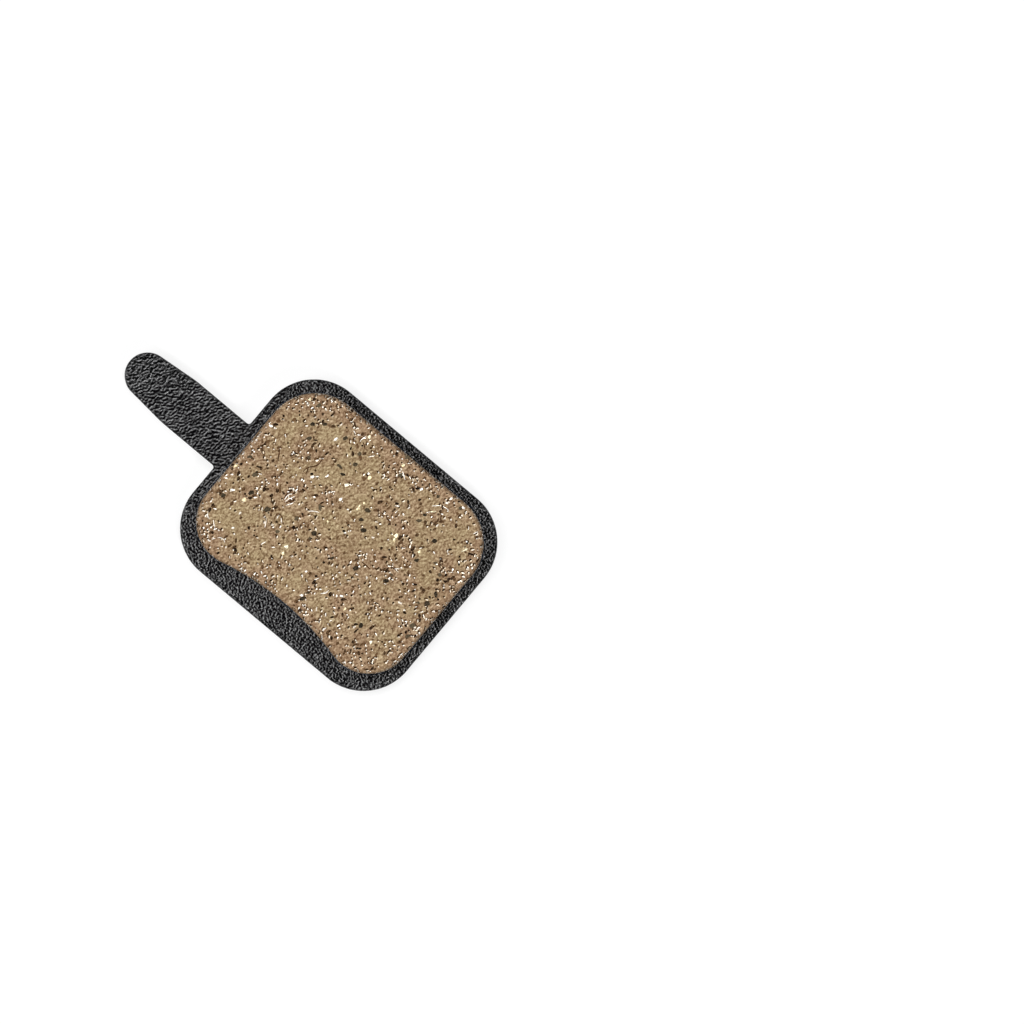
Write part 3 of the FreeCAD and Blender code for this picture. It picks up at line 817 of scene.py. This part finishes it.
beddedKinds = {  # the lumps that stand out: x, y, length and width in the picture's pixels, turn in degrees
    "dark_grains": {
        "seed": 37, "thick": 0.1, "sink": 0.014, "ragged": 0.34,
        "finish": ("dark_mineral_grain", "mineral", (38, 32, 24), (102, 90, 70), 0.6),
        "places": (
        (255, 475, 7, 5, 20), (250, 457, 5, 3.5, 0), (319, 405.5, 6, 4.5, 20), (313, 424.5, 6, 4.5, 0),
        (325.5, 424.5, 5, 4, 0), (309.5, 438.5, 6.5, 4, 10), (345.5, 438.5, 6, 4.5, 20),
        (359.5, 454, 4.5, 4, 0), (355.5, 464.5, 6, 4.5, 10), (340, 466.5, 8, 3, -35), (309, 457.5, 4, 4, 0),
        (343, 474.5, 6, 3, -20), (251.5, 492.5, 7, 5, 10), (223.5, 495.5, 5.5, 4.5, 20),
        (267.5, 509.5, 8.5, 5.5, 15), (278, 531.5, 5.5, 4, 10), (320.5, 507.5, 7, 5, -80),
        (314.5, 533.5, 6, 5.5, 30), (310, 539, 4.5, 3, 10), (368, 510.5, 7, 5, -20), (356, 568, 7, 5, 20),
        (361.5, 519.5, 5, 4.5, 0), (332, 558, 6, 3.5, 25), (363.5, 530, 7, 4.5, 0), (386, 581, 7, 4, 10),
        (391.5, 575, 3.5, 3.5, 0), (419, 520.5, 6, 4, 0), (434.5, 541, 6.5, 4.5, 15),
        (461, 508, 4.5, 4.5, 0), (425, 515, 5, 3, 40), (438, 496.5, 4.5, 3.5, 0), (417, 560, 6, 4, 15),
        (435.5, 563, 5, 3.5, 0), (440, 575, 5, 4, 0), (436, 594.5, 7, 4.5, -75), (427, 603.5, 6.5, 5.5, 20),
        (418, 602.5, 4, 3, 0), (412.5, 625.5, 7, 5.5, 10), (408, 636, 6, 3.5, 0), (361, 625, 5.5, 5, 60),
        (303, 598, 8, 4.5, 15), (308, 592.5, 3.5, 3.5, 0), (407, 457.5, 5, 4, 0), (400.5, 475, 6, 4.5, 20),
        (296.5, 518.5, 5, 4, 60))},
    # painted shade: near-black lumps that stand in for pits, not hollows
    "painted_pit_shade_lumps": {
        "seed": 53, "thick": 0.06, "sink": 0.004, "ragged": 0.08,
        "finish": ("painted_pit_shade", "mineral", (16, 10, 6), (44, 30, 19), 0.8),
        "places": (
        (276, 424.5, 6, 3, -5), (284, 416, 3, 2.5, 90), (249, 476.5, 4, 2.5, 50), (259.5, 467, 7, 2, -15),
        (312, 474, 4, 2.5, 0), (344, 531, 3.5, 3, 0), (294, 527.5, 4, 4, 0), (315.5, 516.5, 2.5, 2.5, 0),
        (376.5, 527.5, 4.5, 2.5, -60), (316.5, 576, 3.5, 3, 40), (213, 532.5, 3, 3, 0),
        (218.5, 553, 3.5, 2.5, 30), (450, 549.5, 4.5, 2.5, 10), (471, 554, 6.5, 2.5, -20),
        (418, 488.5, 5.5, 2.5, 10), (397, 503.5, 5, 2.5, -15), (459, 564.5, 3, 2.5, 90),
        (437.5, 580, 4, 3, 60), (445.5, 581.5, 3.5, 3, 10), (446, 575, 4, 2.5, 50), (406, 625.5, 3, 3, 0),
        (406, 632, 4, 2.5, 80), (356, 624, 5.5, 2.2, -5), (359, 648.3, 6.5, 2, 0), (351, 448.5, 4, 2, 75),
        (367.5, 474.5, 4.5, 2.5, 90), (404.8, 612.5, 4, 2.5, -30), (241.5, 464, 4, 2.5, 35),
        (348.5, 525.5, 2.5, 2.5, 0), (326, 547.5, 4, 2, 10))},
    "brass_chips": {
        "seed": 23, "thick": 0.08, "sink": 0.002, "ragged": 0.26,
        "finish": ("pale_brass_chip", "metal", (232, 212, 164), (255, 251, 226), 0.45),
        "places": (
        (244, 500, 6, 4.5, 0), (286.5, 546.7, 5, 3.5, 20), (283.5, 553.5, 5.5, 3, 70),
        (347, 485, 5, 3.5, 10), (370, 478, 4.5, 4, 60), (369.5, 437, 4, 3, 80), (403.5, 465, 4.5, 3, 45),
        (358.8, 507.5, 7.5, 2.5, 52), (364.5, 503, 3, 2.5, 0), (396.5, 535.5, 5, 4, 45),
        (394.5, 540, 4, 3, 70), (419.5, 551.7, 4, 3, 10), (464.5, 550.2, 8.5, 1.8, 28),
        (433, 511.6, 6, 1.8, 8), (371.3, 642, 4, 3.5, 80), (345, 609, 4, 2.2, 40),
        (328, 521.3, 2.5, 2.5, 0), (310, 399.5, 4, 3, 60), (236, 466, 5, 3, 30))},
    "steel_chips": {
        "seed": 29, "thick": 0.08, "sink": 0.004, "ragged": 0.24,
        "finish": ("bright_steel_chip", "metal", (240, 230, 214), (255, 252, 245), 0.42),
        "places": (
        (336, 439.3, 5, 2.8, 50), (312.8, 477, 5, 3, 20), (317.5, 476.5, 3, 2, 0),
        (368.8, 473.8, 3, 2.5, 90), (327.5, 476, 4.5, 2.2, 45), (345.4, 532.8, 4, 2.6, 35),
        (326.5, 549.5, 3, 2.5, 0), (341, 499.5, 4, 3, 50), (373.3, 537.5, 3, 2.5, 0),
        (397, 506, 6.5, 1.8, 0), (447, 503, 4.5, 2.2, 5), (451, 498.8, 4.5, 2.4, 50),
        (400.2, 603, 4.5, 2.6, -20), (404.5, 610, 3, 2.6, 0), (302, 595, 3.5, 2.8, 20),
        (337, 596, 4, 2.5, 80), (341.8, 596, 4, 2.4, 10), (306.5, 571.3, 3.5, 2.4, 10),
        (463.5, 507.6, 3.5, 3.2, 60), (233.5, 528, 3.5, 2.4, 20), (240.5, 513, 4, 2, 50),
        (233, 490, 5, 2, -15), (271.5, 426, 4.5, 3, -40), (226.5, 478, 3.5, 2.4, -15),
        (367, 577.5, 3, 2, 70), (421.5, 489, 4, 2.6, 10))},
}


def makeBedded():
    tree = beddedTree()
    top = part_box("friction_lining")[1].z
    face = top - (liningLook["drop"] + 0.5 * liningLook["grainDepth"]) * mm
    pixel = mm / photo["pixelsPerMm"]
    for name, kind in beddedKinds.items():
        points, sizes, turns = [], [], []
        for x, y, long, wide, turn in kind["places"]:
            points.append((*fromPicture(x, y), face - kind["sink"] * mm))
            sizes += [long * pixel, wide * pixel, kind["thick"] * mm]
            turns.append(imageTurn() + radians(turn))
        piece = addMesh(name, points)
        piece.data.attributes.new("size", "FLOAT_VECTOR", "POINT").data.foreach_set("vector", sizes)
        markMesh(piece.data, "turn", turns)
        runTree(piece, tree, {
            "Seed": kind["seed"], "Ragged": kind["ragged"] * mm, "Fray": inclusionLook["beddedFray"],
            "Top": top, "Material": inclusionMaterial(*kind["finish"])})
        settle(piece, "friction_compound")


# fibres: curved strands lying in the ground face

strandLook = {"points": 16, "sides": 6, "thinEnd": 0.3, "tonesPerMetre": 1500.0}

strandKinds = {  # each path runs through points of the picture, in its pixels; radius in millimetres
    "brown_fibres": {
        "radius": 0.085,
        "finish": ("brown_resin_fibre", "mineral", (58, 37, 23), (104, 74, 50), 0.7),
        "paths": (
        ((302, 473.3), (305.5, 469.5), (309, 467.4), (313, 466.6), (317.5, 465.3), (320.3, 462.8),
         (322.3, 459.3), (324.8, 456.4), (327.2, 455)),
        ((308.8, 467.8), (307.6, 471), (306, 473.8)), ((362.8, 441.5), (364.3, 445), (365, 449.3)),
        ((282.5, 444.5), (280.2, 448), (279.6, 453), (278.6, 458), (279, 462.5)),
        ((386, 514.3), (387.2, 518.5), (390.3, 522.3), (391, 526.3)), ((361, 561), (366, 565), (371, 570)),
        ((274, 520.3), (276, 515.7), (279, 513.8), (282, 516.5), (282.8, 521)),
        ((440.3, 523), (441, 517.5), (441.8, 512.8)), ((284, 498.5), (286.8, 494.6), (290, 492)),
        ((285.5, 503.6), (290, 501.2), (295, 499.4)))},
    "steel_fibres": {
        "radius": 0.075,
        "finish": ("steel_wool_fibre", "metal", (234, 222, 206), (255, 252, 245), 0.42),
        "paths": (
        ((213.8, 519.5), (214.5, 524), (215.7, 528.5)), ((208.3, 512), (208.2, 516), (210, 519.5)),
        ((212, 539.5), (216, 538)), ((217.5, 538.2), (220.5, 537.5), (224, 539.5), (225.2, 543)),
        ((266.7, 519.5), (266, 523.5), (265, 527.8)), ((261, 544.7), (263.5, 543), (266.3, 541.5)),
        ((308, 511.5), (313, 511), (320, 512.5)), ((330.5, 492.3), (336, 491.3)),
        ((360, 442), (363, 438.5), (367, 435.8)), ((353.8, 430.3), (355.8, 434.5)),
        ((368.5, 457.2), (375.5, 455.4)), ((402.3, 470.8), (404, 475), (405.2, 480.5)),
        ((431.8, 506), (441, 505.5)), ((442.8, 505.8), (446, 508.2), (449, 510)),
        ((426, 512.8), (430.5, 511.8)), ((395, 513.3), (398, 510.3)), ((472.8, 533.8), (478.5, 531.4)),
        ((394.5, 568.6), (400.2, 568.6)), ((401.3, 548), (406.2, 548.3)),
        ((320.3, 593.6), (326.5, 592.3), (329.5, 589.5)), ((317.2, 606.5), (316.3, 611.5)),
        ((322, 630.5), (327, 627.3)), ((329.3, 621.5), (333.2, 619.4)), ((314.2, 580), (319.8, 577.8)),
        ((284.5, 500), (287.5, 496), (291, 493.8)), ((284.7, 502), (290, 498.6), (295.5, 496.2)),
        ((285.5, 505.5), (290.5, 504), (295, 502.5)), ((277, 519), (278.5, 516), (280, 515.3)),
        ((281.3, 517.5), (282, 523.5)))},
}


def strandTree():
    look = strandLook
    tree, given = newTree("strands", ("Radius",))
    line = addNode(tree, "GeometryNodeMeshToCurve", {"Mesh": given["Geometry"]})
    smooth = addNode(tree, "GeometryNodeCurveSplineType", {"Curve": line}, spline_type="CATMULL_ROM")
    even = addNode(tree, "GeometryNodeResampleCurve", {"Curve": smooth, "Count": look["points"]})
    along = addNode(tree, "GeometryNodeSplineParameter", output="Factor")
    middle = times(times(along, minus(1.0, along)), 4.0)
    taper = remap(maths("SQRT", middle), 0.0, 1.0, look["thinEnd"], 1.0)
    tapered = addNode(tree, "GeometryNodeSetCurveRadius", {"Curve": even, "Radius": taper})
    ring = addNode(tree, "GeometryNodeCurvePrimitiveCircle", {
        "Resolution": look["sides"], "Radius": given["Radius"]})
    tube = addNode(tree, "GeometryNodeCurveToMesh", {
        "Curve": tapered, "Profile Curve": ring, "Scale": taper, "Fill Caps": True})
    endTree(keepMark(tube, "tone", noise(position(tree), look["tonesPerMetre"])), given["Material"])
    return tree


def makeStrands():
    tree = strandTree()
    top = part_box("friction_lining")[1].z
    for name, kind in strandKinds.items():
        points, edges = [], []
        for path in kind["paths"]:
            first = len(points)
            points += [(*fromPicture(x, y), top - kind["radius"] * mm) for x, y in path]
            edges += [(k, k + 1) for k in range(first, len(points) - 1)]
        piece = addMesh(name, points, edges)
        material = inclusionMaterial(*kind["finish"])
        runTree(piece, tree, {"Radius": kind["radius"] * mm, "Material": material})
        settle(piece, "friction_compound")


# studio: pale floor, soft lamps and the camera straight above

studio = {
    "cameraHeight": 1.5, "sensor": 36.0, "world": 0.08,
    "floorRadius": 3.0, "floorSides": 64, "floorGap": 0.02, "floorTone": 0.27, "floorGlow": 0.78,
    "lamps": {  # image direction and height in degrees, distance and size in metres, power in watts
        "key": (178.0, 61.0, 0.7, 0.6, 2.8),
        "spark": (297.0, 50.0, 0.8, 0.15, 1.8),
        "top": (68.0, 72.0, 0.8, 0.3, 2.0),
    },
}


def makeCamera():
    half = photo["imageSize"] / 2
    camera = addObject("camera", bpy.data.cameras.new("camera"))
    camera.location = (*fromPicture(half, half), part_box("backing_plate")[1].z + studio["cameraHeight"])
    camera.rotation_euler = (0.0, 0.0, imageTurn())
    frameWidth = photo["imageSize"] / photo["pixelsPerMm"] * mm
    camera.data.sensor_width = studio["sensor"]
    camera.data.lens = studio["sensor"] * studio["cameraHeight"] / frameWidth
    scene.camera = camera


def makeLamps():
    for name, (direction, height, distance, size, power) in studio["lamps"].items():
        lamp = bpy.data.lights.new(name, "AREA")
        lamp.shape = "DISK"
        lamp.size = size
        lamp.energy = power
        holder = addObject(name, lamp)
        around = imageTurn() + radians(direction)
        rise = radians(height)
        holder.location = (distance * cos(rise) * cos(around), distance * cos(rise) * sin(around),
                           distance * sin(rise))
        holder.rotation_euler = (radians(90.0) - rise, 0.0, around + radians(90.0))
    world = bpy.data.worlds.new("soft_room")
    world.use_nodes = True
    background = next(n for n in world.node_tree.nodes if n.type == "BACKGROUND")
    background.inputs["Color"].default_value = (1.0, 1.0, 1.0, 1.0)
    background.inputs["Strength"].default_value = studio["world"]
    scene.world = world


def makeFloor():
    bm = bmesh.new()
    bmesh.ops.create_circle(bm, cap_ends=True, segments=studio["floorSides"], radius=studio["floorRadius"])
    bmesh.ops.translate(bm, verts=bm.verts, vec=(0.0, 0.0, -studio["floorGap"] * mm))
    mesh = bpy.data.meshes.new("floor")
    bm.to_mesh(mesh)
    bm.free()
    floor = addObject("floor", mesh)
    material = bpy.data.materials.new("white_floor")
    material.use_nodes = True
    tree = material.node_tree
    tree.nodes.clear()
    rays = addNode(tree, "ShaderNodeLightPath", output=None)
    seen = maths("MAXIMUM", maths("MAXIMUM", rays["Is Camera Ray"], rays["Is Glossy Ray"]),
                 rays["Is Transmission Ray"])
    tone = studio["floorTone"]
    paper = addNode(tree, "ShaderNodeBsdfDiffuse", {"Color": (tone, tone, tone, 1.0)})
    glow = addNode(tree, "ShaderNodeEmission", {"Strength": times(seen, studio["floorGlow"])})
    both = addNode(tree, "ShaderNodeAddShader", {0: paper, 1: glow})
    addNode(tree, "ShaderNodeOutputMaterial", {"Surface": both}, None)
    mesh.materials.append(material)


makeCamera()
makeLamps()
makeFloor()
print("studio ready")
makePlate()
lining = makeLining()
makeScattered(lining)
makeBedded()
makeStrands()
